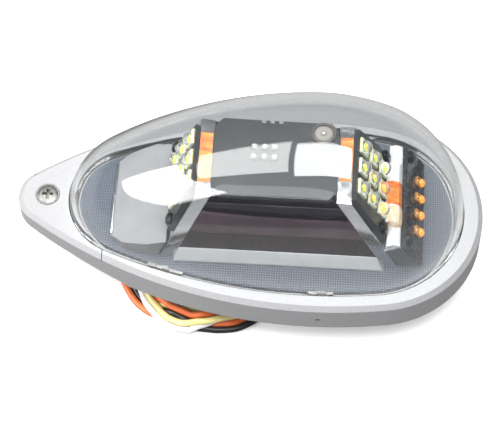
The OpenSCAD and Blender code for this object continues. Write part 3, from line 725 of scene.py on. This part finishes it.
def make_white_leds(name, frame_of_head):
    """Nine packages with solder pads and a phosphor disc, and the nine clear domes on them."""
    bodies, domes = bmesh.new(), bmesh.new()
    for i in range(3):
        for j in (-1, 0, 1):
            spot = (LED_ROW + LED_PITCH * i, LED_PITCH * j, BOARD_T)
            place = frame_of_head @ Matrix.Translation(spot)
            slab(bodies, square(LED_W - 0.3, LED_W, 0.35), 0, LED_H, place, 0, 0.15)
            for end in (-1, 1):
                pad = Matrix.Translation((end * (LED_W / 2 - 0.3), 0, 0))
                slab(bodies, square(0.6, LED_W - 1, 0.1), 0.02, 0.3, place @ pad, 2, 0.05)
            disc = [(0, LED_H), (0.95, LED_H), (0.9, LED_H + 0.06), (0, LED_H + 0.08)]
            lathe(bodies, disc, place, 1)
            lathe(domes, ball_top(LED_DOME_R, LED_H + 0.02), place)
    stand_for(finish_mesh(bodies, f"{name}_led_bodies", ["led_package", "phosphor", "gold_pad"]),
              "base", "led_package", f"{name}_leds")
    stand_for(finish_mesh(domes, f"{name}_led_lenses", ["led_dome"]),
              "base", "led_dome", f"{name}_domes")


def make_amber_leds():
    """Four low packages, each with its amber dome towards the lower edge."""
    bm = bmesh.new()
    for j in (-1.5, -0.5, 0.5, 1.5):
        place = FRONT @ Matrix.Translation((AMBER_S, AMBER_PITCH * j, AMBER_BASE))
        slab(bm, square(AMBER_W + 0.6, AMBER_W - 0.4, 0.4), 0, AMBER_H, place, 1, 0.15)
        cup = [(0, AMBER_H), (1.0, AMBER_H), (0.95, AMBER_H + 0.08), (0, AMBER_H + 0.1)]
        lathe(bm, cup, place @ Matrix.Translation((-1.0, 0, 0)), 2)
        lathe(bm, cup, place @ Matrix.Translation((0.75, 0, 0)), 3)
        dome = ball_top(AMBER_DOME_R, AMBER_H + 0.02)
        lathe(bm, dome, place @ Matrix.Translation((0.65, 0, 0)))
    materials = ["amber_led", "amber_body", "gold_pad", "amber_die"]
    stand_for(finish_mesh(bm, "amber_led_row", materials), "base", "amber_led", "amber_leds")


def make_top_leds():
    """Six small packages on the top board, each a dark cup with a pale die under a clear dome."""
    bm = bmesh.new()
    for i in range(3):
        for j in range(2):
            spot = (TOP_START[0] + TOP_PITCH[0] * i, TOP_START[1] + TOP_PITCH[1] * j, DECK_TOP)
            place = Matrix.Translation(spot)
            slab(bm, square(TOP_W, TOP_W, 0.25), 0, TOP_H, place, 1, 0.08)
            die = [(0, TOP_H), (0.55, TOP_H), (0.5, TOP_H + 0.08), (0, TOP_H + 0.1)]
            lathe(bm, die, place, 2, 20)
            lathe(bm, ball_top(TOP_DOME_R, TOP_H + 0.01, 9), place, 0, 24)
    stand_for(finish_mesh(bm, "top_led_group", ["led_dome", "driver_plastic", "top_led"]),
              "base", "top_led", "top_leds")


def make_bead():
    """Clear resin cast over the light bar, with one section all along and rounded ends."""
    bm = bmesh.new()
    rings = []
    for t in np.linspace(-1, 1, 17):
        fat = max(0.05, 1 - abs(t)**5)**0.4
        y = (BEAD_LOW + BEAD_HIGH) / 2 + t * (BEAD_HIGH - BEAD_LOW) / 2
        ring = []
        for p in BEAD_SECTION:
            q = BEAD_MIDDLE + (Vector(p) - BEAD_MIDDLE) * fat
            ring.append(bm.verts.new(FRONT @ Vector((q.x, y, q.y)) * MM))
        rings.append(ring)
    loft(bm, rings)
    stand_for(finish_mesh(bm, "resin_bead", ["bead_resin"], 70), "base", "bead_resin", "bar_bead")


make_lens()
make_seal()
make_ramp_lip()
make_white_leds("front", FRONT)
make_white_leds("rear", REAR)
make_amber_leds()
make_top_leds()
make_bead()
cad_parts["light_bar"].data.materials[0] = bpy.data.materials["bar_metal"]

# ---- floor and lights ----

FLOOR_HALF = 2.0
FLOOR_GLOW = 0.22
FLOOR_BOUNCE = 0.14
FLOOR_MIRRORED = (0.26, 0.26, 0.26)
ROOM_COLOUR = (0.22, 0.23, 0.24)


def make_floor():
    side, z = FLOOR_HALF, float(FLOOR_Z)
    mesh = bpy.data.meshes.new("stage_floor")
    corners = [(-side, -side, z), (side, -side, z), (side, side, z), (-side, side, z)]
    mesh.from_pydata(corners, [], [(0, 1, 2, 3)])
    floor = bpy.data.objects.new("stage_floor", mesh)
    bpy.context.scene.collection.objects.link(floor)
    paper = Finish("stage_white", (0.92, 0.92, 0.92), 0.7, Specular_IOR_Level=0.1)
    paper.vary(60, 0.01, 0.02)
    paper.put("Emission Color", (1, 1, 1, 1))
    paper.put("Emission Strength", FLOOR_GLOW)
    paper.dim_to_the_object(FLOOR_MIRRORED, FLOOR_BOUNCE)
    mesh.materials.append(bpy.data.materials["stage_white"])


def area_lamp(name, width, height, radiance, place):
    """A rectangular lamp that the camera doesn't see."""
    data = bpy.data.lights.new(name, "AREA")
    data.shape = "RECTANGLE"
    data.size, data.size_y = width, height
    data.energy = radiance * width * height * math.pi
    lamp = bpy.data.objects.new(name, data)
    lamp.matrix_world = place
    lamp.visible_camera = False
    bpy.context.scene.collection.objects.link(lamp)


def softbox(name, azimuth, elevation, distance, width, height, radiance):
    """A lamp that faces the object from that side, azimuth in degrees from +X towards +Y."""
    a, e = math.radians(azimuth), math.radians(elevation)
    back = Vector((math.cos(e) * math.cos(a), math.cos(e) * math.sin(a), math.sin(e)))
    right = Vector((0, 0, 1)).cross(back).normalized()
    turn = Matrix((right, back.cross(right), back)).transposed().to_4x4()
    area_lamp(name, width, height, radiance, Matrix.Translation(back * distance) @ turn)


def overhead(name, x, y, high, radiance):
    """A level lamp that spans x and y, each a range for every metre of height."""
    middle = Vector((sum(x) / 2, sum(y) / 2, 1)) * high
    width, depth = (x[1] - x[0]) * high, (y[1] - y[0]) * high
    area_lamp(name, width, depth, radiance, Matrix.Translation(middle))


def light_scene():
    overhead("key", x=(-0.28, 0.54), y=(-0.40, 0.45), high=1.5, radiance=8.5)
    overhead("fill_top", x=(-1.0, -0.32), y=(-0.27, 0.5), high=1.5, radiance=5.5)
    softbox("left_box", 195, 30.5, 1.6, width=1.5, height=0.65, radiance=8)
    softbox("front_wall", -110, 44, 1.6, width=1.5, height=0.36, radiance=1.1)
    world = bpy.data.worlds.new("studio")
    world.use_nodes = True
    world.node_tree.nodes["Background"].inputs["Color"].default_value = (*ROOM_COLOUR, 1)
    bpy.context.scene.world = world
    bpy.context.scene.view_settings.view_transform = "Standard"


make_floor()
light_scene()

bpy.context.view_layer.update()
